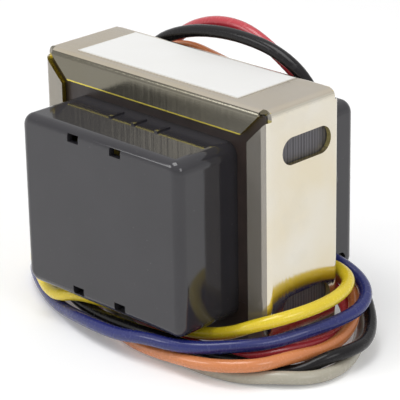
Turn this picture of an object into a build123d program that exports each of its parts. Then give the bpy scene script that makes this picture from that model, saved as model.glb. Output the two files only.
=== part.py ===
import os
from math import pi, radians, tan

from build123d import *

os.makedirs("parts", exist_ok=True)

# Core: E and I sheets stacked along Y, the I closing the E from below
tongue_width = 22.2
window_width = 11.1
window_height = 33.3
leg_width = 11.1
yoke_height = 11.1
stack_depth = 20.5

# Folded channel frame
sheet = 1.2
bend_radius = 0.5
core_clearance = 0.15
top_lip = 6.5
side_lip = 5.7
mitre_gap = 2.2
relief_radius = 1.7
tab_width = 15.0
slot_length = 15.3
slot_height = 6.2
slot_shift = 1.0
slot_drop = 10.4
slot_rise = 11.4

# Bobbin, windings and their tape
bobbin_wall = 1.0
bobbin_clearance = 0.15
flange_thickness = 1.0
flange_margin = 1.2
flange_corner = 3.0
flange_side_clearance = 0.3
flange_end_clearance = 0.2
primary_share = 0.5
coil_build = 8.2
coil_fit = 0.05
coil_end_fit = 0.1
coil_corner = 5.0
wrap_thickness = 0.4

# Moulded covers over the ends of the coil
cover_wall = 1.5
cover_side_fit = 0.1
cover_headroom = 1.6
cover_end_room = 5.55
cover_edge = 2.2
cover_corner = 3.0
vent_span = 13.3
vent_shift = 0.95
vent_size = (3.4, 1.9)
vent_inset = 2.2
rib_size = (0.9, 4.0)
rib_height = 0.35
rib_pitch = 7.2
rib_count = 3
rib_setback = 2.8

# Label on the top plate
label_length = 50.0
label_width = 18.2
label_thickness = 0.12
label_shift = (-1.4, 0.5)

# Leads
lead_diameter = 2.9
strand_diameter = 1.2
strip_length = 8.0
lead_clearance = 0.25
lead_pitch = 3.1
lead_row = 12.6
lead_row_start = 14.0
lead_row_count = 4
secondary_row = 16.8
secondary_row_start = 19.9
secondary_row_count = 2
bend_share = 0.45

# Sizes that follow from the ones above
core_width = tongue_width + 2 * (window_width + leg_width)
core_height = window_height + 2 * yoke_height
core_floor = sheet + core_clearance
core_top = core_floor + core_height
core_centre = core_floor + core_height / 2
core_face = stack_depth / 2
frame_width = core_width + 2 * (core_clearance + sheet)
frame_depth = stack_depth + 2 * (core_clearance + sheet)
frame_height = core_top + core_clearance + sheet
outer_bend = bend_radius + sheet
tube_width = tongue_width + 2 * bobbin_clearance
tube_depth = stack_depth + 2 * bobbin_clearance
spool_width = tube_width + 2 * bobbin_wall
spool_depth = tube_depth + 2 * bobbin_wall
flange_width = tongue_width + 2 * (window_width - flange_side_clearance)
flange_depth = spool_depth + 2 * (coil_build + flange_margin)
bobbin_height = window_height - 2 * flange_end_clearance
bobbin_floor = core_centre - bobbin_height / 2
winding_room = bobbin_height - 3 * flange_thickness
primary_room = winding_room * primary_share
primary_floor = bobbin_floor + flange_thickness
middle_flange = primary_floor + primary_room
secondary_floor = middle_flange + flange_thickness
secondary_room = winding_room - primary_room
cover_width = flange_width + 2 * (cover_side_fit + cover_wall)
cover_height = bobbin_height + 2 * (cover_headroom + cover_wall)
cover_depth = flange_depth / 2 - core_face + cover_end_room + cover_wall
lead_start = cover_width / 2 - cover_wall + 0.2

# Routes of the leads: out of the rear cover's side, round the foot of the frame, then to their ends
yellow_route = [
    (lead_start, 19.9, 16.8), (28.6, 19.9, 16.4), (34.1, 17.2, 14.8), (37.8, 11.5, 13.6), (39.9, 4.4, 12.8),
    (40.0, -3.2, 12.3), (37.8, -10.2, 12.2), (33.9, -15.5, 11.1), (28.5, -19.2, 8.9), (21.8, -21.0, 7.5),
    (13.9, -21.8, 7.4), (5.5, -22.3, 7.5), (-3.0, -22.9, 7.8), (-10.8, -24.0, 8.0), (-17.3, -25.3, 5.5),
    (-23.9, -23.2, 5.3), (-30.8, -19.4, 6.5), (-36.7, -14.9, 7.2), (-41.4, -9.5, 7.1), (-44.9, -3.3, 5.7),
    (-46.6, 3.4, 4.8),
]
blue_route = [
    (lead_start, 23.0, 16.8), (28.8, 23.0, 15.9), (34.7, 21.2, 13.7), (39.4, 17.8, 13.4), (42.4, 12.2, 12.4),
    (43.2, 3.8, 9.8), (40.1, -6.2, 8.0), (36.9, -13.7, 7.4), (32.5, -19.8, 7.3), (27.2, -24.5, 6.7),
    (21.0, -27.0, 6.4), (13.8, -28.0, 6.2), (6.1, -28.6, 4.7), (-1.8, -27.8, 3.9), (-9.7, -26.4, 3.2),
    (-17.4, -24.5, 2.6), (-24.4, -22.0, 2.0), (-31.2, -19.1, 1.5), (-37.9, -15.0, 1.5), (-42.6, -8.9, 1.5),
    (-45.8, -2.7, 1.5), (-47.4, 4.0, 1.5),
]
orange_route = [
    (lead_start, 17.1, 12.6), (29.2, 17.2, 11.9), (35.6, 16.8, 9.6), (40.4, 12.8, 7.8), (42.9, 5.7, 5.9),
    (43.3, -3.3, 4.6), (42.4, -11.2, 4.7), (39.6, -17.8, 5.0), (34.8, -22.9, 4.3), (27.9, -25.7, 3.7),
    (20.2, -26.3, 3.2), (12.5, -25.9, 2.3), (4.7, -24.8, 1.5), (-3.7, -23.3, 1.5), (-12.2, -21.6, 1.5),
    (-20.4, -20.0, 2.6), (-28.0, -17.9, 4.2), (-34.5, -14.4, 4.7), (-39.3, -9.2, 4.7), (-42.1, -2.5, 4.5),
    (-43.2, 4.8, 5.0), (-42.9, 11.5, 7.5), (-41.8, 16.6, 13.0), (-40.0, 18.9, 22.9), (-38.3, 19.1, 31.1),
    (-35.5, 18.8, 39.0), (-30.2, 17.9, 48.4), (-23.9, 17.1, 53.6), (-16.0, 16.9, 55.6), (-6.3, 16.9, 53.6),
    (3.1, 17.0, 50.6), (11.2, 17.2, 50.3),
]
black_route = [
    (lead_start, 20.2, 12.6), (28.2, 20.5, 12.2), (34.4, 20.3, 9.0), (39.5, 18.0, 7.6), (43.2, 13.0, 5.8),
    (45.4, 5.0, 2.4), (44.4, -4.5, 1.5), (41.2, -11.5, 1.5), (36.5, -16.5, 1.9), (30.7, -19.7, 3.0),
    (23.9, -21.7, 4.2), (16.5, -23.3, 4.8), (8.7, -24.5, 4.9), (0.9, -24.9, 4.6), (-6.5, -24.0, 4.5),
    (-13.6, -22.3, 4.6), (-20.9, -20.4, 6.3), (-28.1, -18.1, 8.5), (-34.4, -14.7, 9.8), (-38.7, -9.2, 9.7),
    (-40.6, -1.9, 9.3), (-41.0, 5.6, 10.5), (-40.5, 11.6, 14.8), (-39.6, 14.6, 22.8), (-38.0, 15.4, 32.0),
    (-35.2, 15.2, 41.0), (-30.4, 14.6, 49.4), (-23.4, 13.9, 56.2), (-14.3, 13.7, 60.3), (-5.0, 13.6, 62.2),
    (4.7, 13.5, 62.6), (14.0, 13.7, 61.5), (21.6, 14.1, 57.6), (25.9, 14.5, 50.4), (27.7, 15.2, 41.9),
    (27.8, 15.9, 33.6),
]
red_route = [
    (lead_start, 14.0, 12.6), (28.0, 14.0, 12.2), (32.9, 14.2, 9.0), (36.8, 12.6, 4.7), (39.9, 8.5, 2.0),
    (41.4, 2.5, 1.7), (40.6, -4.0, 2.8), (38.2, -10.4, 3.8), (33.7, -15.1, 3.6), (27.4, -17.2, 3.0),
    (19.4, -17.5, 2.3), (10.5, -17.0, 1.8), (1.2, -16.4, 1.6), (-8.0, -16.0, 1.5), (-17.0, -16.2, 1.5),
    (-25.5, -16.1, 1.5), (-33.2, -14.8, 1.5), (-38.6, -9.6, 1.5), (-40.3, -1.6, 1.9), (-40.1, 7.4, 3.9),
    (-39.0, 15.6, 7.8), (-37.9, 21.6, 13.8), (-37.8, 23.8, 22.3), (-37.6, 23.7, 31.6), (-35.8, 22.6, 40.6),
    (-31.4, 21.1, 48.7), (-24.5, 19.7, 55.3), (-15.7, 18.4, 60.2), (-6.4, 17.7, 63.2), (1.9, 17.4, 63.1),
    (9.3, 17.5, 59.8), (15.5, 17.7, 54.7), (22.0, 18.4, 50.6),
]
white_route = [
    (lead_start, 23.3, 12.6), (28.0, 23.5, 12.3), (33.4, 23.8, 9.1), (39.1, 21.5, 6.4), (44.1, 16.7, 4.6),
    (47.5, 10.3, 3.5), (48.4, 2.8, 2.8), (48.4, -4.0, 1.8), (46.4, -10.3, 1.5), (42.2, -15.4, 1.9),
    (37.0, -19.9, 1.5), (30.5, -22.7, 1.5), (23.0, -23.7, 1.5), (15.2, -23.2, 1.5), (7.2, -21.9, 1.5),
    (-0.6, -19.9, 1.5), (-8.2, -19.2, 1.5),
]

# Channel frame: one folded sheet, open below, with mitred lips round the core's faces
with BuildPart() as frame_hollow:
    with BuildSketch(Plane.XY.offset(sheet)):
        Rectangle(frame_width - 2 * sheet, frame_depth - 2 * sheet)
    extrude(amount=frame_height - 2 * sheet)
    fillet(frame_hollow.edges(), bend_radius)

with BuildPart() as channel_frame:
    with BuildSketch():
        Rectangle(frame_width, frame_depth)
    extrude(amount=frame_height)
    fillet(channel_frame.edges(), outer_bend)
    add(frame_hollow.part, mode=Mode.SUBTRACT)

    # Opening between the lips, front and rear, which also leaves a tab under each end of the core
    with BuildSketch(Plane.XZ):
        with Locations((0, (frame_height - top_lip) / 2)):
            Rectangle(frame_width - 2 * side_lip, frame_height - top_lip)
    extrude(amount=frame_depth, both=True, mode=Mode.SUBTRACT)

    # Legs end above the bend on both sides of each tab
    with BuildSketch():
        Rectangle(frame_width, frame_depth)
        Rectangle(frame_width, tab_width, mode=Mode.SUBTRACT)
    extrude(amount=outer_bend, mode=Mode.SUBTRACT)

    # Mitres and round reliefs where the top lip meets the side lips
    for face in (Plane.XZ.offset(frame_depth / 2), Plane.XZ.offset(outer_bend - frame_depth / 2)):
        with BuildSketch(face):
            for side in (-1, 1):
                with Locations((side * (frame_width / 2 - outer_bend / 2), frame_height - outer_bend / 2)):
                    Circle(relief_radius)
                with Locations((side * (frame_width - side_lip) / 2, frame_height - top_lip / 2)):
                    Rectangle(2 * top_lip, mitre_gap, rotation=side * 45)
        extrude(amount=-outer_bend, mode=Mode.SUBTRACT)

    # Slots in the legs that bare the edges of the stack
    with BuildSketch(Plane.YZ):
        for level in (frame_height - slot_drop, slot_rise):
            with Locations((slot_shift, level)):
                SlotOverall(slot_length, slot_height)
    extrude(amount=frame_width, both=True, mode=Mode.SUBTRACT)

# Core
with BuildPart() as e_laminations:
    with BuildSketch(Plane.XZ):
        with Locations((0, core_top - (core_height - yoke_height) / 2)):
            Rectangle(core_width, core_height - yoke_height)
        for side in (-1, 1):
            with Locations((side * (tongue_width + window_width) / 2, core_centre)):
                Rectangle(window_width, window_height, mode=Mode.SUBTRACT)
    extrude(amount=core_face, both=True)

with BuildPart() as i_laminations:
    with BuildSketch(Plane.XZ):
        with Locations((0, core_floor + yoke_height / 2)):
            Rectangle(core_width, yoke_height)
    extrude(amount=core_face, both=True)

# Bobbin: a square tube on the tongue with two end flanges and a dividing one
with BuildPart() as bobbin:
    with BuildSketch(Plane.XY.offset(bobbin_floor)):
        Rectangle(spool_width, spool_depth)
    extrude(amount=bobbin_height)
    for level in (bobbin_floor, middle_flange, bobbin_floor + bobbin_height - flange_thickness):
        with BuildSketch(Plane.XY.offset(level)):
            RectangleRounded(flange_width, flange_depth, flange_corner)
        extrude(amount=flange_thickness)
    with BuildSketch(Plane.XY.offset(bobbin_floor)):
        Rectangle(tube_width, tube_depth)
    extrude(amount=bobbin_height, mode=Mode.SUBTRACT)


def coil_ring(level, room, inner_build, outer_build):
    inner_size = (spool_width + 2 * inner_build, spool_depth + 2 * inner_build)
    outer_size = (spool_width + 2 * outer_build, spool_depth + 2 * outer_build)
    inner_corner = max(coil_corner - (outer_build - inner_build), coil_fit)
    with BuildPart() as ring:
        with BuildSketch(Plane.XY.offset(level + coil_end_fit)):
            RectangleRounded(*outer_size, coil_corner)
            RectangleRounded(*inner_size, inner_corner, mode=Mode.SUBTRACT)
        extrude(amount=room - 2 * coil_end_fit)
    return ring.part


wrap_start = coil_build + coil_fit
primary_winding = coil_ring(primary_floor, primary_room, coil_fit, coil_build)
secondary_winding = coil_ring(secondary_floor, secondary_room, coil_fit, coil_build)
primary_wrap = coil_ring(primary_floor, primary_room, wrap_start, wrap_start + wrap_thickness)
secondary_wrap = coil_ring(secondary_floor, secondary_room, wrap_start, wrap_start + wrap_thickness)


def cover_shell(side):
    face = Plane.XZ.offset(core_face) if side < 0 else Plane.XZ.offset(-core_face)
    outward = -side
    with BuildPart() as shell:
        with BuildSketch(face):
            with Locations((0, core_centre)):
                RectangleRounded(cover_width, cover_height, cover_corner)
        extrude(amount=outward * cover_depth)
        outer_edges = shell.edges().group_by(Axis.Y)[0 if side < 0 else -1]
        fillet(outer_edges, cover_edge)
        rim = shell.faces().sort_by(Axis.Y)[-1 if side < 0 else 0]
        offset(amount=-cover_wall, openings=rim)

        # Small windows through the end wall, near its upper and lower edges
        with BuildSketch(face):
            with Locations((side * vent_shift, core_centre)):
                with GridLocations(vent_span, cover_height - 2 * vent_inset, 2, 2):
                    Rectangle(*vent_size)
        extrude(amount=outward * (cover_depth + cover_wall), mode=Mode.SUBTRACT)

        # Short ribs on the upper wall beside the core
        with BuildSketch(Plane.XY.offset(core_centre + cover_height / 2)):
            with Locations((0, side * (core_face + rib_setback + rib_size[1] / 2))):
                with GridLocations(rib_pitch, 1, rib_count, 1):
                    Rectangle(*rib_size)
        extrude(amount=rib_height)
    return shell


front_shell = cover_shell(-1)
rear_shell = cover_shell(1)

with BuildPart() as rear_cover:
    add(rear_shell.part)
    # Two slots in the side wall let the leads out in rows
    with BuildSketch(Plane.YZ.offset(cover_width / 2 - 2 * cover_wall)):
        rows = (
            (lead_row_start, lead_row_count, lead_row),
            (secondary_row_start, secondary_row_count, secondary_row),
        )
        for start, count, level in rows:
            span = lead_pitch * (count - 1)
            with Locations((start + span / 2, level)):
                SlotCenterToCenter(span, lead_diameter + 2 * lead_clearance)
    extrude(amount=3 * cover_wall, mode=Mode.SUBTRACT)

# Label
with BuildPart() as label:
    with BuildSketch(Plane.XY.offset(frame_height)):
        with Locations(label_shift):
            Rectangle(label_length, label_width)
    extrude(amount=label_thickness)


def corner_radii(points):
    radii = []
    for before, corner, after in zip(points, points[1:], points[2:]):
        arriving = Vector(*corner) - Vector(*before)
        leaving = Vector(*after) - Vector(*corner)
        turn = radians(arriving.get_angle(leaving))
        radii.append(bend_share * min(arriving.length, leaving.length) / tan(turn / 2))
    return radii


def lead_and_tip(name, points):
    radii = corner_radii(points)
    with BuildPart() as lead:
        with BuildLine() as path:
            FilletPolyline(*points, radius=radii)
        route = path.wire()
        with BuildSketch(Plane(origin=route @ 0, z_dir=route % 0)):
            Circle(lead_diameter / 2)
        sweep(path=route)
    with BuildPart() as tip:
        with BuildSketch(Plane(origin=route @ 1, z_dir=route % 1)):
            Circle(strand_diameter / 2)
        extrude(amount=strip_length)
    expected = pi * lead_diameter**2 / 4 * route.length
    share = lead.part.volume / expected
    print(f"{name}: length {route.length:.1f}, smallest radius {min(radii):.1f}, volume share {share:.4f}")
    return lead.part, tip.part


pieces = {
    "channel_frame": channel_frame.part,
    "e_laminations": e_laminations.part,
    "i_laminations": i_laminations.part,
    "bobbin": bobbin.part,
    "primary_winding": primary_winding,
    "secondary_winding": secondary_winding,
    "primary_wrap": primary_wrap,
    "secondary_wrap": secondary_wrap,
    "front_cover": front_shell.part,
    "rear_cover": rear_cover.part,
    "label": label.part,
}
lead_routes = {
    "yellow": yellow_route,
    "blue": blue_route,
    "orange": orange_route,
    "black": black_route,
    "red": red_route,
    "white": white_route,
}
for colour, points in lead_routes.items():
    pieces[f"{colour}_lead"], pieces[f"{colour}_lead_tip"] = lead_and_tip(colour, points)

for name, piece in pieces.items():
    piece.label = name
    export_step(piece, f"parts/{name}.step")
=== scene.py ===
import math
import random

import bpy
from mathutils import Matrix, Vector


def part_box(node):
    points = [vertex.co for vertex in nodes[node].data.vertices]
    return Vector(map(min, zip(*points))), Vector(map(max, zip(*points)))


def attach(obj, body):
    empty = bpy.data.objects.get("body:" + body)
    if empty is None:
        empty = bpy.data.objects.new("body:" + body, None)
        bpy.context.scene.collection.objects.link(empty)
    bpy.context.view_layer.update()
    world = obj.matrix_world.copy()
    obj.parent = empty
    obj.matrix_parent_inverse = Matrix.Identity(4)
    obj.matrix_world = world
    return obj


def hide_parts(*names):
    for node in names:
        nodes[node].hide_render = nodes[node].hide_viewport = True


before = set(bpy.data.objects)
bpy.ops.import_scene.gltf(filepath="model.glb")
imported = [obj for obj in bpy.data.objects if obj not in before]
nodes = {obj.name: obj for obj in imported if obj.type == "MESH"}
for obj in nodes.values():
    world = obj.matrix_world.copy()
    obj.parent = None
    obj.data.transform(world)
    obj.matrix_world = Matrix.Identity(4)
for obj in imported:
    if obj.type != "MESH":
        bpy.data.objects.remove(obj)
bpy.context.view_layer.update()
print("frame loaded,", len(nodes), "solids")


class Wire:  # a shader socket that can stand in a sum
    def __init__(self, socket):
        self.socket = socket

    def calc(self, operation, left, right=0.0):
        tree = self.socket.id_data
        made = tree.nodes.new("ShaderNodeMath")
        made.operation = operation
        for place, value in zip(made.inputs, (left, right)):
            if isinstance(value, Wire):
                tree.links.new(value.socket, place)
            else:
                place.default_value = value
        return Wire(made.outputs[0])

    def pick(self, name):  # another output of the same node
        return Wire(self.socket.node.outputs[name])

    def __add__(self, other):
        return self.calc("ADD", self, other)

    def __radd__(self, other):
        return self.calc("ADD", other, self)

    def __sub__(self, other):
        return self.calc("SUBTRACT", self, other)

    def __rsub__(self, other):
        return self.calc("SUBTRACT", other, self)

    def __mul__(self, other):
        return self.calc("MULTIPLY", self, other)

    def __rmul__(self, other):
        return self.calc("MULTIPLY", other, self)

    def __gt__(self, other):
        return self.calc("GREATER_THAN", self, other)

    def __lt__(self, other):
        return self.calc("LESS_THAN", self, other)

    def __abs__(self):
        return self.calc("ABSOLUTE", self)

    def wave(self):
        return self.calc("SINE", self)


class Finish:  # a node tree, and the one way of adding to it
    def __init__(self, owner):
        owner.use_nodes = True
        self.owner = owner
        self.tree = owner.node_tree

    def node(self, kind, settings=None, sockets=None, out=0):
        made = self.tree.nodes.new(kind)
        for key, value in (settings or {}).items():
            if key == "stops":
                ramp = made.color_ramp.elements
                for extra in value[2:]:
                    ramp.new(extra[0])
                for stop, (position, colour) in zip(ramp, sorted(value)):
                    stop.position = position
                    stop.color = colour
            else:
                setattr(made, key, value)
        for key, value in (sockets or {}).items():
            self.feed(made.inputs[key], value)
        return Wire(made.outputs[out])

    def feed(self, place, value):
        if isinstance(value, Wire):
            self.tree.links.new(value.socket, place)
        else:
            place.default_value = value

    def surface(self, **sockets):  # baseColor= feeds Base Color, and so on
        shader = self.tree.nodes["Principled BSDF"]
        for key, value in sockets.items():
            words = "".join(" " + letter if letter.isupper() else letter for letter in key)
            self.feed(shader.inputs[words.title().replace("Ior", "IOR")], value)
        return self.owner

    def spots(self, stretch=(1, 1, 1)):  # place on the piece in millimetres, squeezed along chosen axes
        place = self.node("ShaderNodeTexCoord", out="Object")
        scale = [1000 * share for share in stretch]
        return self.node("ShaderNodeMapping", sockets={"Vector": place, "Scale": scale})

    def noise(self, perMm, detail=2.0, stretch=(1, 1, 1)):
        sockets = {"Vector": self.spots(stretch), "Scale": perMm, "Detail": detail}
        return self.node("ShaderNodeTexNoise", {}, sockets, "Fac")

    def blend(self, factor, first, second):
        return self.node("ShaderNodeMix", {"data_type": "RGBA"}, {0: factor, 6: first, 7: second}, 2)

    def ramp(self, factor, stops):
        return self.node("ShaderNodeValToRGB", {"stops": stops}, {"Fac": factor}, "Color")

    def bump(self, height, distance, strength=1.0):
        return self.node("ShaderNodeBump", {}, {"Height": height, "Distance": distance, "Strength": strength})

    def axes(self, kind="Object"):
        place = self.node("ShaderNodeTexCoord", out=kind)
        return self.node("ShaderNodeSeparateXYZ", {}, {"Vector": place}, "X")


def newFinish(name):
    return Finish(bpy.data.materials.new(name))


def dress(piece, material):
    piece.data.materials.clear()
    piece.data.materials.append(material)


def clearSelection():
    if bpy.context.mode != "OBJECT":
        bpy.ops.object.mode_set(mode="OBJECT")
    bpy.ops.object.select_all(action="DESELECT")


def makeActive(piece):
    clearSelection()
    piece.select_set(True)
    bpy.context.view_layer.objects.active = piece


def addPiece(name, data):
    made = bpy.data.objects.new(name, data)
    bpy.context.scene.collection.objects.link(made)
    return made


# camera, set to the picture's angle
camera = {
    "azimuth": 45.094,
    "elevation": 21.764,
    "roll": -1.042,
    "target": (0.002397, 0.000829, 0.026713),
    "distance": 0.478478,
    "lens": 190.887,
    "sensor": 36.0,
    "near": 0.01,
}


def setCamera(view):
    turn, lift, roll = (math.radians(view[key]) for key in ("azimuth", "elevation", "roll"))
    back = Vector((math.sin(turn) * math.cos(lift), -math.cos(turn) * math.cos(lift), math.sin(lift)))
    level = Vector((math.cos(turn), math.sin(turn), 0.0))
    upright = back.cross(level)
    right = level * math.cos(roll) + upright * math.sin(roll)
    up = upright * math.cos(roll) - level * math.sin(roll)
    clearSelection()
    bpy.ops.object.camera_add()
    made = bpy.context.object
    spot = Vector(view["target"]) + back * view["distance"]
    made.matrix_world = Matrix.Translation(spot) @ Matrix((right, up, back)).transposed().to_4x4()
    made.data.lens = view["lens"]
    made.data.sensor_width = view["sensor"]
    made.data.clip_start = view["near"]
    bpy.context.scene.camera = made


setCamera(camera)
print("camera set")

# leads: routes from the rear cover's side wall to the bare ends
yellowLead = {
    "length": 0.1452,
    "deep": (0.80, 0.59, 0.02, 1),
    "bright": (0.92, 0.72, 0.03, 1),
    "dust": (0.9, 0.8, 0.4, 1),
    "gloss": 0.5,
    "route": [
        (0.0222, 0.0138, 0.0151), (0.0282, 0.014, 0.0149), (0.0339, 0.0139, 0.0145),
        (0.038, 0.0115, 0.014), (0.0404, 0.0064, 0.0135), (0.0409, -0.0011, 0.0131),
        (0.0385, -0.0098, 0.0124), (0.034, -0.0149, 0.0109), (0.0276, -0.0165, 0.0075),
        (0.0197, -0.0176, 0.0054), (0.011, -0.019, 0.0053), (0.0021, -0.0203, 0.006),
        (-0.0065, -0.0218, 0.0068), (-0.0136, -0.0235, 0.0068), (-0.0189, -0.0243, 0.005),
        (-0.0245, -0.0228, 0.0051), (-0.0307, -0.0195, 0.0066), (-0.0366, -0.0154, 0.0077),
        (-0.0411, -0.0097, 0.0073), (-0.0447, -0.0034, 0.0061), (-0.0466, 0.0032, 0.005),
    ],
}
blueLead = {
    "length": 0.1570,
    "deep": (0.013, 0.018, 0.12, 1),
    "bright": (0.021, 0.028, 0.18, 1),
    "dust": (0.3, 0.3, 0.5, 1),
    "gloss": 0.4,
    "route": [
        (0.0222, 0.0169, 0.0151), (0.0286, 0.017, 0.0149), (0.0357, 0.0171, 0.0128),
        (0.0408, 0.0143, 0.0109), (0.0431, 0.009, 0.0095), (0.0426, 0.0018, 0.0088),
        (0.0403, -0.0062, 0.0082), (0.0373, -0.0136, 0.0073), (0.0327, -0.0199, 0.0073),
        (0.0274, -0.0246, 0.0069), (0.0212, -0.0272, 0.0065), (0.0138, -0.0281, 0.0062),
        (0.0061, -0.0285, 0.0046), (-0.0021, -0.0279, 0.004), (-0.0099, -0.0264, 0.0033),
        (-0.0169, -0.0242, 0.0021), (-0.024, -0.0218, 0.0018), (-0.0312, -0.0188, 0.0029),
        (-0.0378, -0.0147, 0.0037), (-0.0424, -0.0091, 0.0018), (-0.0457, -0.0028, 0.0015),
        (-0.0473, 0.004, 0.0015),
    ],
}
orangeLead = {
    "length": 0.2482,
    "deep": (0.62, 0.20, 0.06, 1),
    "bright": (0.74, 0.27, 0.10, 1),
    "dust": (0.8, 0.5, 0.35, 1),
    "gloss": 0.5,
    "route": [
        (0.0222, 0.0171, 0.0114), (0.0292, 0.0172, 0.0109), (0.0345, 0.0161, 0.0102),
        (0.039, 0.0124, 0.0085), (0.043, 0.0059, 0.0054), (0.0434, -0.0025, 0.0038),
        (0.042, -0.0113, 0.005), (0.0401, -0.0192, 0.0051), (0.0352, -0.024, 0.0049),
        (0.0285, -0.0261, 0.004), (0.0208, -0.0264, 0.0033), (0.013, -0.0259, 0.0023),
        (0.0051, -0.0244, 0.0015), (-0.0034, -0.0217, 0.0015), (-0.012, -0.0195, 0.0015),
        (-0.0205, -0.0183, 0.0028), (-0.0283, -0.017, 0.0047), (-0.0348, -0.0141, 0.0055),
        (-0.0391, -0.009, 0.0048), (-0.0417, -0.0023, 0.0049), (-0.0433, 0.0045, 0.0062),
        (-0.0436, 0.0107, 0.0093), (-0.0424, 0.0155, 0.0153), (-0.0398, 0.0183, 0.025),
        (-0.0358, 0.0187, 0.0369), (-0.0306, 0.0179, 0.0467), (-0.0241, 0.0171, 0.0532),
        (-0.016, 0.0169, 0.0555), (-0.0072, 0.0169, 0.0541), (0.0021, 0.017, 0.0525),
        (0.0115, 0.0172, 0.0508),
    ],
}
blackLead = {
    "length": 0.2801,
    "deep": (0.006, 0.005, 0.006, 1),
    "bright": (0.012, 0.011, 0.012, 1),
    "dust": (0.2, 0.2, 0.2, 1),
    "gloss": 0.2,
    "route": [
        (0.0222, 0.0202, 0.0114), (0.0282, 0.0204, 0.0111), (0.0342, 0.0194, 0.0094),
        (0.0394, 0.0161, 0.0072), (0.0443, 0.0115, 0.0051), (0.0476, 0.0058, 0.0042),
        (0.0486, -0.0007, 0.0047), (0.0468, -0.0065, 0.0044), (0.0432, -0.0116, 0.0015),
        (0.0377, -0.0163, 0.0024), (0.0315, -0.0203, 0.0039), (0.0244, -0.0228, 0.0049),
        (0.0168, -0.0243, 0.0054), (0.0088, -0.025, 0.0051), (0.0008, -0.0246, 0.0045),
        (-0.0071, -0.0231, 0.0036), (-0.0147, -0.0215, 0.0038), (-0.0223, -0.02, 0.0057),
        (-0.0293, -0.0173, 0.0083), (-0.0354, -0.0137, 0.0102), (-0.0395, -0.0083, 0.0106),
        (-0.0413, -0.0016, 0.0108), (-0.0416, 0.0052, 0.0122), (-0.0409, 0.0109, 0.0159),
        (-0.0398, 0.0143, 0.0228), (-0.038, 0.0155, 0.0317), (-0.035, 0.0153, 0.041),
        (-0.0302, 0.0146, 0.0495), (-0.0234, 0.0139, 0.0562), (-0.0144, 0.0138, 0.0602),
        (-0.0047, 0.0136, 0.0622), (0.0049, 0.0135, 0.0626), (0.014, 0.0137, 0.0614),
        (0.0216, 0.0141, 0.0576), (0.0263, 0.0145, 0.0509), (0.0281, 0.0152, 0.0424),
        (0.0284, 0.0159, 0.0337),
    ],
}
redLead = {
    "length": 0.2561,
    "deep": (0.50, 0.03, 0.045, 1),
    "bright": (0.62, 0.05, 0.07, 1),
    "dust": (0.8, 0.4, 0.4, 1),
    "gloss": 0.5,
    "route": [
        (0.0222, 0.014, 0.0114), (0.028, 0.014, 0.0111), (0.0337, 0.0139, 0.0077),
        (0.0376, 0.0117, 0.0055), (0.0398, 0.0067, 0.0041), (0.0401, -0.001, 0.0039),
        (0.0377, -0.0099, 0.0046), (0.0343, -0.0153, 0.0042), (0.0286, -0.0179, 0.0034),
        (0.0206, -0.018, 0.0024), (0.0104, -0.0165, 0.0019), (-0.0012, -0.0149, 0.0016),
        (-0.013, -0.0147, 0.0015), (-0.0234, -0.0155, 0.0015), (-0.03, -0.0156, 0.0015),
        (-0.0348, -0.0139, 0.0015), (-0.038, -0.0103, 0.0015), (-0.0401, -0.0045, 0.0017),
        (-0.0406, 0.0037, 0.0034), (-0.0398, 0.0129, 0.0078), (-0.0386, 0.0203, 0.0142),
        (-0.0381, 0.0237, 0.0223), (-0.0374, 0.0239, 0.0314), (-0.0353, 0.0228, 0.0404),
        (-0.0304, 0.0211, 0.0485), (-0.0236, 0.0197, 0.0553), (-0.0155, 0.0184, 0.0604),
        (-0.0066, 0.0178, 0.0631), (0.0018, 0.0175, 0.063), (0.0094, 0.0175, 0.0599),
        (0.0166, 0.0177, 0.0555), (0.02, 0.0179, 0.0528),
    ],
}
# the white lead's colours are greyed and darkened well below white: painted shade, as if it lay in the shadow
# of the other leads
shadedWhiteLead = {
    "length": 0.1134,
    "deep": (0.40, 0.37, 0.29, 1),
    "bright": (0.48, 0.45, 0.37, 1),
    "dust": (0.4, 0.38, 0.3, 1),
    "gloss": 0.4,
    "route": [
        (0.0222, 0.0233, 0.0114), (0.0276, 0.0233, 0.0102), (0.0316, 0.0217, 0.0067),
        (0.0362, 0.0174, 0.0033), (0.0408, 0.0124, 0.002), (0.0446, 0.0064, 0.0018),
        (0.0478, -0.0004, 0.0015), (0.0486, -0.0069, 0.0015), (0.047, -0.0122, 0.0018),
        (0.0424, -0.0171, 0.0023), (0.0361, -0.0211, 0.0015), (0.0283, -0.0232, 0.0015),
        (0.0195, -0.0233, 0.0015), (0.0108, -0.0221, 0.0015), (0.0024, -0.0201, 0.0015),
        (-0.0056, -0.0179, 0.0015),
    ],
}
leadSet = {
    "diameter": 0.0029,
    "roundSteps": 7,
    "pathSteps": 6,
    "coatShare": 0.7,
    "strandRadius": 0.0002,
    "strandSides": 10,
    "strandsRound": 6,
    "bareLength": 0.008,
    "twistSteps": 10,
    "twistPerStep": 22.0,
    "smoothUnder": 50.0,
}


def layLead(name, route):
    path = bpy.data.curves.new(name, "CURVE")
    path.dimensions = "3D"
    path.bevel_depth = leadSet["diameter"] / 2
    path.bevel_resolution = leadSet["roundSteps"]
    path.resolution_u = leadSet["pathSteps"]
    path.use_fill_caps = True
    spline = path.splines.new("NURBS")
    spline.points.add(len(route) - 1)
    for point, place in zip(spline.points, route):
        point.co = (*place, 1.0)
    spline.order_u = 3
    spline.use_endpoint_u = True
    return addPiece(name, path)


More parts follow.
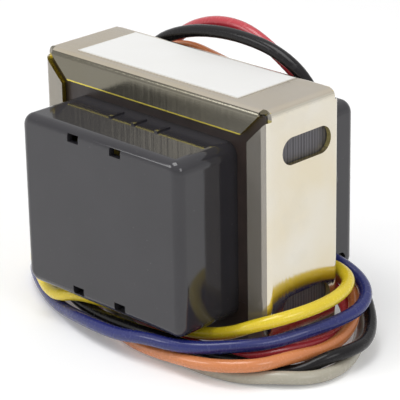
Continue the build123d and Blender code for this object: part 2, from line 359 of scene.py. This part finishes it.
def twistStrands():  # a bare end: strands round a middle one, twisted, standing on the origin
    radius, sides, count = (leadSet[key] for key in ("strandRadius", "strandSides", "strandsRound"))
    clearSelection()
    bpy.ops.mesh.primitive_circle_add(vertices=sides, radius=radius, fill_type="NGON")
    made = bpy.context.object
    bpy.ops.object.mode_set(mode="EDIT")
    for place in range(count):
        angle = math.radians(360 / count * place)
        spot = (2 * radius * math.cos(angle), 2 * radius * math.sin(angle), 0.0)
        bpy.ops.mesh.primitive_circle_add(vertices=sides, radius=radius, fill_type="NGON", location=spot)
    bpy.ops.mesh.select_all(action="SELECT")
    step = leadSet["bareLength"] / leadSet["twistSteps"]
    for _ in range(leadSet["twistSteps"]):
        bpy.ops.mesh.extrude_region_move(TRANSFORM_OT_translate={"value": (0, 0, step)})
        bpy.ops.transform.rotate(
            value=math.radians(leadSet["twistPerStep"]), orient_axis="Z", center_override=(0, 0, 0)
        )
    bpy.ops.mesh.select_all(action="SELECT")
    bpy.ops.mesh.normals_make_consistent(inside=False)
    bpy.ops.object.mode_set(mode="OBJECT")
    bpy.ops.object.shade_smooth_by_angle(angle=math.radians(leadSet["smoothUnder"]))
    return made


def bareEnd(pattern, name, route):
    made = addPiece(name, pattern.data.copy())
    along = (Vector(route[-1]) - Vector(route[-2])).normalized()
    made.matrix_world = Matrix.Translation(route[-1]) @ along.to_track_quat("Z", "Y").to_matrix().to_4x4()
    makeActive(made)
    bpy.ops.object.transform_apply(location=True, rotation=True, scale=True)
    return made


def insulation(name, lead):  # extruded vinyl, slightly uneven in colour and sheen
    finish = newFinish(name)
    cloud = finish.noise(0.12, 3)
    skin = finish.noise(1.6, 2)
    scuff = finish.noise(0.5, 4) > 0.64
    tone = finish.blend(cloud, lead["deep"], lead["bright"])
    return finish.surface(
        baseColor=finish.blend(scuff * 0.04, tone, lead["dust"]),
        roughness=0.20 + 0.12 * skin + 0.1 * scuff,
        specularIorLevel=lead["gloss"],
        coatWeight=leadSet["coatShare"] * lead["gloss"],
        coatRoughness=0.06,
        normal=finish.bump(skin, 0.00008, 0.35),
    )


def tinnedFinish():
    finish = newFinish("tinnedStrands")
    grain = finish.noise(3.0, 3)
    stain = finish.noise(0.9, 3) > 0.6
    tone = finish.blend(stain * 0.5, (0.62, 0.60, 0.55, 1), (0.55, 0.40, 0.27, 1))
    return finish.surface(baseColor=tone, metallic=1.0, roughness=0.28 + 0.2 * grain)


leads = {
    "yellow": yellowLead,
    "blue": blueLead,
    "orange": orangeLead,
    "black": blackLead,
    "red": redLead,
    "white": shadedWhiteLead,
}
strandPattern = twistStrands()
tinned = tinnedFinish()
for colour, lead in leads.items():
    jacket = layLead(colour + "Lead", lead["route"])
    dress(jacket, insulation(colour + "Vinyl", lead))
    bare = bareEnd(strandPattern, colour + "Strands", lead["route"])
    dress(bare, tinned)
    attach(jacket, "root")
    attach(bare, "root")
    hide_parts(colour + "_lead")
    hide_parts(colour + "_lead_tip")
bpy.data.objects.remove(strandPattern)
print("leads laid:", ", ".join(leads))

# core: single sheets in place of the solid stacks
coreSet = {
    "sheets": 24,
    "gap": 0.00004,
    "jog": 0.00005,
    "seed": 7,
    "linePitch": 0.000855,
    "varnish": (0.060, 0.040, 0.034, 1),
    "varnishDark": (0.022, 0.016, 0.015, 1),
    "steel": (0.17, 0.165, 0.18, 1),
    "steelDark": (0.075, 0.072, 0.082, 1),
}


def sheetStack(name, node):
    low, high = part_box(node)
    depth = high.y - low.y
    pitch = depth / coreSet["sheets"]
    made = addPiece(name, nodes[node].data.copy())
    makeActive(made)
    bpy.ops.mesh.customdata_custom_splitnormals_clear()
    jog = random.Random(coreSet["seed"])
    bpy.ops.object.mode_set(mode="EDIT")
    bpy.ops.mesh.select_all(action="SELECT")
    bpy.ops.mesh.remove_doubles(threshold=0.00001)
    bpy.ops.mesh.dissolve_limited(angle_limit=math.radians(1))
    share = (pitch - coreSet["gap"]) / depth
    bpy.ops.transform.resize(
        value=(1 - 2 * coreSet["jog"] / (high.x - low.x), share, 1 - coreSet["jog"] / (high.z - low.z)),
        center_override=(0, low.y, low.z),
    )
    slip = 0.0
    for _ in range(coreSet["sheets"] - 1):
        last = slip
        slip = jog.uniform(-1, 1) * coreSet["jog"]
        bpy.ops.mesh.duplicate_move(TRANSFORM_OT_translate={"value": (slip - last, pitch, 0)})
    bpy.ops.object.mode_set(mode="OBJECT")
    bpy.ops.object.shade_flat()
    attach(made, "root")
    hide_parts(node)
    return made


def coreFinish():  # varnished faces, barer steel along the cut edges of the sheets
    finish = newFinish("varnishedSheet")
    facing = finish.axes("Normal")
    edge = abs(facing.pick("Y")) < 0.5
    depth = finish.axes("Object").pick("Y")
    period = 2 * math.pi / coreSet["linePitch"]
    shade = (depth * period).wave() * 0.5 + 0.5
    cloud = finish.noise(0.25, 4)
    grit = finish.noise(2.5, 3)
    varnish = finish.blend(cloud, coreSet["varnishDark"], coreSet["varnish"])
    steel = finish.blend(0.55 * shade + 0.45 * grit, coreSet["steelDark"], coreSet["steel"])
    return finish.surface(
        baseColor=finish.blend(edge, varnish, steel),
        metallic=0.55 * edge,
        roughness=0.26 + 0.22 * grit + 0.12 * edge,
        normal=finish.bump(cloud + 0.3 * grit, 0.0002, 0.25),
    )


varnished = coreFinish()
for name, node in (("eSheets", "e_laminations"), ("iSheets", "i_laminations")):
    dress(sheetStack(name, node), varnished)
print("core stacked from", coreSet["sheets"], "sheets")

# channel frame: zinc plate with a faint straw tint, brighter and yellower along the sheared edges; painted
# shade darkens the top faces and the lips' front faces
zinc = {
    "pale": (0.74, 0.70, 0.61, 1),
    "straw": (0.72, 0.65, 0.50, 1),
    "dull": (0.60, 0.57, 0.50, 1),
    "cut": (0.80, 0.66, 0.10, 1),
    # painted shade for the faces turned upward
    "tan": (0.58, 0.48, 0.38, 1),
    # painted shade for the top lip's front faces
    "lip": (0.13, 0.122, 0.095, 1),
    # painted shade for the side lips' front faces
    "sideLipShade": (0.24, 0.225, 0.205, 1),
    "speck": (0.36, 0.33, 0.27, 1),
    "lipWidth": 0.0064,
    "lipReach": 0.008,
    "thick": 0.0012,
    "wall": 0.0013,
    "corner": 0.0015,
    "edge": 0.002,
    "burrWidth": 0.0002,
    "slotTint": 0.45,
}


def zincFinish():
    finish = newFinish("zincPlate")
    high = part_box("channel_frame")[1]
    facing, place = finish.axes("Normal"), finish.axes("Object")
    sideways, endways, upward = abs(facing), abs(facing.pick("Y")), facing.pick("Z")
    away, depth, height = abs(place), abs(place.pick("Y")), place.pick("Z")
    lipFoot, lipSide = high.z - zinc["lipWidth"], high.x - zinc["lipWidth"]
    under = (upward < -0.8) * (height > high.z - zinc["lipReach"])
    inward = (sideways > 0.8) * (away < lipSide + zinc["thick"])
    mitred = (depth > high.y - zinc["edge"]) * (endways < 0.2) * (abs(sideways - abs(upward)) < 0.05)
    slotWall = (away > high.x - zinc["wall"]) * (sideways < 0.3) * (depth < high.y - zinc["corner"])
    slotWall = slotWall * (height < high.z - zinc["edge"]) * (height > zinc["edge"]) * zinc["slotTint"]
    # the front faces of the top lip and of the side lips, which take painted shade further down
    front = endways > 0.7
    lip = front * (height - away > high.z - high.x)
    side = front * (1 - lip)
    burr = lip * (abs(height - lipFoot) < zinc["burrWidth"]) * (away < lipSide)
    sheared = under + inward + mitred - under * inward + burr + slotWall
    up = upward > 0.6
    grain = finish.noise(1.1, 3, (1, 1, 0.04)) * (1 - up) + finish.noise(1.1, 3, (0.04, 1, 1)) * up
    cloud = finish.noise(0.06, 3)
    fleck = finish.noise(3.2, 2) > 0.70
    tone = finish.ramp(cloud, [(0.34, zinc["pale"]), (0.66, zinc["straw"])])
    tone = finish.blend(0.10 * (finish.noise(0.16, 4) > 0.62), tone, zinc["dull"])
    # painted shade: faces turned upward are blended towards a darker tan
    tone = finish.blend(up * 0.4, tone, zinc["tan"])
    # painted shade: the top lip's front faces are darkened almost to black, and the side lips' front faces to
    # a dark grey
    tone = finish.blend(lip * 0.9, tone, zinc["lip"])
    tone = finish.blend(side * 0.8, tone, zinc["sideLipShade"])
    tone = finish.blend(fleck * (0.25 + 0.4 * side), tone, zinc["speck"])
    return finish.surface(
        baseColor=finish.blend(sheared, tone, zinc["cut"]),
        metallic=1.0 - 0.5 * burr - 0.5 * side,
        roughness=0.09 + 0.10 * grain + 0.10 * fleck + 0.12 * sheared,
        normal=finish.bump(grain + 0.25 * finish.noise(0.22, 2), 0.00025, 0.10),
    )


dress(nodes["channel_frame"], zincFinish())
print("frame plated")

# covers: fuller than the solids at the sides and below, with the slots where the leads come out
cover = {
    "widen": 0.0014,
    "raise": 0.00025,
    "drop": 0.00115,
    "slots": ((0.0140, 0.0233, 0.01145), (0.0138, 0.0169, 0.0151)),
    "slotRadius": 0.0017,
    "slotDepth": 0.006,
    "slotSides": 32,
    "black": (0.025, 0.024, 0.028, 1),
    "grey": (0.040, 0.038, 0.044, 1),
    "dust": (0.25, 0.25, 0.25, 1),
}


def fullCover(name, node, turn):
    low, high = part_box("front_cover")
    middle = (low.z + high.z) / 2
    made = addPiece(name, nodes["front_cover"].data.copy())
    for point in made.data.vertices:
        if abs(point.co.x) > high.x / 2:
            point.co.x += math.copysign(cover["widen"], point.co.x)
        point.co.z += cover["raise"] if point.co.z > middle else -cover["drop"]
    made.data.transform(Matrix.Rotation(turn, 4, "Z"))
    makeActive(made)
    bpy.ops.object.mode_set(mode="EDIT")
    bpy.ops.mesh.select_all(action="SELECT")
    bpy.ops.mesh.remove_doubles(threshold=0.000001)
    bpy.ops.object.mode_set(mode="OBJECT")
    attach(made, "root")
    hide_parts(node)
    return made


def cutSlot(piece, first, last, level):
    clearSelection()
    bpy.ops.mesh.primitive_cylinder_add(
        vertices=cover["slotSides"],
        radius=cover["slotRadius"],
        depth=cover["slotDepth"],
        location=(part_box("rear_cover")[1].x + cover["widen"], first, level),
        rotation=(0, math.pi / 2, 0),
    )
    cutter = bpy.context.object
    bpy.ops.object.transform_apply()
    for point in cutter.data.vertices:
        if point.co.y > first + 0.00001:
            point.co.y += last - first
    bite = piece.modifiers.new("slot", "BOOLEAN")
    bite.object = cutter
    bite.solver = "EXACT"
    makeActive(piece)
    bpy.ops.object.modifier_apply(modifier=bite.name)
    bpy.data.objects.remove(cutter)


def coverFinish():  # polished moulding with a faint ripple and a little dust
    finish = newFinish("polishedMoulding")
    ripple = finish.noise(0.07, 1)
    peel = finish.noise(0.9, 2)
    dust = finish.noise(2.2, 3) > 0.74
    tone = finish.blend(finish.noise(0.05, 2), cover["black"], cover["grey"])
    return finish.surface(
        baseColor=finish.blend(dust * 0.25, tone, cover["dust"]),
        roughness=0.045 + 0.05 * peel + 0.15 * dust,
        specularIorLevel=0.55,
        normal=finish.bump(ripple + 0.04 * peel, 0.0004, 0.12),
    )


moulding = coverFinish()
dress(fullCover("frontCover", "front_cover", 0.0), moulding)
rearCover = fullCover("rearCover", "rear_cover", math.pi)
for slot in cover["slots"]:
    cutSlot(rearCover, *slot)
dress(rearCover, moulding)
print("covers moulded")

# label
film = {
    "white": (0.86, 0.86, 0.85, 1),
    "warm": (0.80, 0.79, 0.75, 1),
    "edge": (0.62, 0.60, 0.54, 1),
    "rimWidth": 0.0004,
}


def labelFinish():  # bare film, a little yellowed, with a darker band along its rim
    finish = newFinish("labelFilm")
    low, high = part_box("label")
    middle, half = (low + high) / 2, (high - low) / 2
    place = finish.axes("Object")
    rimX = abs(place - middle.x) > half.x - film["rimWidth"]
    rimY = abs(place.pick("Y") - middle.y) > half.y - film["rimWidth"]
    rim = rimX + rimY - rimX * rimY
    crease = finish.noise(0.10, 3)
    fibre = finish.noise(2.0, 4)
    tone = finish.blend(crease * 0.5, film["white"], film["warm"])
    return finish.surface(
        baseColor=finish.blend(rim * 0.6, tone, film["edge"]),
        roughness=0.38 + 0.15 * fibre,
        normal=finish.bump(crease + 0.1 * fibre, 0.0003, 0.15),
    )


dress(nodes["label"], labelFinish())

# coil, behind the covers
coil = {
    "nylon": ((0.62, 0.60, 0.53, 1), (0.70, 0.68, 0.62, 1)),
    "copper": ((0.36, 0.13, 0.06, 1), (0.62, 0.26, 0.12, 1)),
    "tape": ((0.56, 0.42, 0.08, 1), (0.66, 0.52, 0.13, 1)),
    "wire": 0.00045,
    "tapeStep": 0.006,
}


def nylonFinish():
    finish = newFinish("mouldedNylon")
    cloud, peel = finish.noise(0.1, 3), finish.noise(1.4, 2)
    return finish.surface(
        baseColor=finish.blend(cloud, *coil["nylon"]),
        roughness=0.42 + 0.1 * peel,
        normal=finish.bump(peel, 0.0001, 0.3),
    )


def turnsFinish():  # enamelled wire laid in level turns
    finish = newFinish("enamelledWire")
    turns = (finish.axes("Object").pick("Z") * (2 * math.pi / coil["wire"])).wave() * 0.5 + 0.5
    cloud = finish.noise(0.3, 3)
    return finish.surface(
        baseColor=finish.blend(0.7 * turns + 0.3 * cloud, *coil["copper"]),
        metallic=1.0,
        roughness=0.25 + 0.15 * cloud,
        normal=finish.bump(turns, 0.0002, 0.6),
    )


def tapeFinish():  # polyester tape, each turn lapping the last
    finish = newFinish("wrapTape")
    lap = (finish.axes("Object").pick("Z") * (2 * math.pi / coil["tapeStep"])).wave() > 0.96
    cloud = finish.noise(0.15, 3)
    return finish.surface(
        baseColor=finish.blend(cloud + 0.4 * lap, *coil["tape"]),
        roughness=0.22 + 0.15 * cloud,
        normal=finish.bump(lap, 0.0001, 0.5),
    )


nylon, turns, tape = nylonFinish(), turnsFinish(), tapeFinish()
dress(nodes["bobbin"], nylon)
for side in ("primary", "secondary"):
    dress(nodes[side + "_winding"], turns)
    dress(nodes[side + "_wrap"], tape)
print("label and coil finished")

# floor, world and lamps
studio = {
    "floorSize": 6.0,
    "floorGrey": 0.90,
    "floorLift": 0.16,
    "ambient": 0.50,
    "shown": 1.0,
    "low": 1.0,
    "high": 0.66,
    "top": 0.85,
    "aim": (0.0, 0.0, 0.03),
}
lamps = [
    {"name": "overhead", "spot": (-0.10, -0.20, 0.95), "size": 0.55, "power": 4.2},
    {"name": "frontLeft", "spot": (-0.55, -0.75, 0.55), "size": 0.35, "power": 1.5},
    {"name": "right", "spot": (0.85, -0.10, 0.60), "size": 0.40, "power": 1.6},
]


def shownRays(finish):  # seen directly, in a gloss or through glass
    path = finish.node("ShaderNodeLightPath", out="Is Camera Ray")
    seen = path + path.pick("Is Glossy Ray") + path.pick("Is Transmission Ray")
    return seen.calc("MINIMUM", seen, 1.0)


def grey(level):
    return (level, level, level, 1)


def layFloor():
    clearSelection()
    bpy.ops.mesh.primitive_plane_add(size=studio["floorSize"])
    floor = bpy.context.object
    floor.name = "floor"
    finish = newFinish("paleFloor")
    finish.surface(
        baseColor=grey(studio["floorGrey"]),
        roughness=0.9,
        specularIorLevel=0.0,
        emissionColor=finish.blend(shownRays(finish), grey(0), grey(1)),
        emissionStrength=studio["floorLift"],
    )
    dress(floor, finish.owner)


def lightRoom():
    world = bpy.data.worlds.new("room")
    bpy.context.scene.world = world
    finish = Finish(world)
    height = finish.axes("Generated").pick("Z")
    direct = finish.node("ShaderNodeLightPath", out="Is Camera Ray")
    walls = [(0.0, grey(studio["low"])), (0.30, grey(studio["high"])), (0.9, grey(studio["top"]))]
    shown = finish.blend(direct, finish.ramp(height, walls), grey(1))
    dim = grey(studio["ambient"])
    background = finish.tree.nodes["Background"]
    finish.feed(background.inputs["Color"], finish.blend(shownRays(finish), dim, shown))
    background.inputs["Strength"].default_value = studio["shown"]
    for lamp in lamps:
        clearSelection()
        bpy.ops.object.light_add(type="AREA", location=lamp["spot"])
        made = bpy.context.object
        made.name = lamp["name"]
        made.data.size = lamp["size"]
        made.data.energy = lamp["power"]
        aim = Vector(studio["aim"]) - Vector(lamp["spot"])
        made.rotation_euler = aim.to_track_quat("-Z", "Y").to_euler()


layFloor()
lightRoom()
bpy.context.scene.view_settings.view_transform = "Standard"
print("room lit by", len(lamps), "lamps")
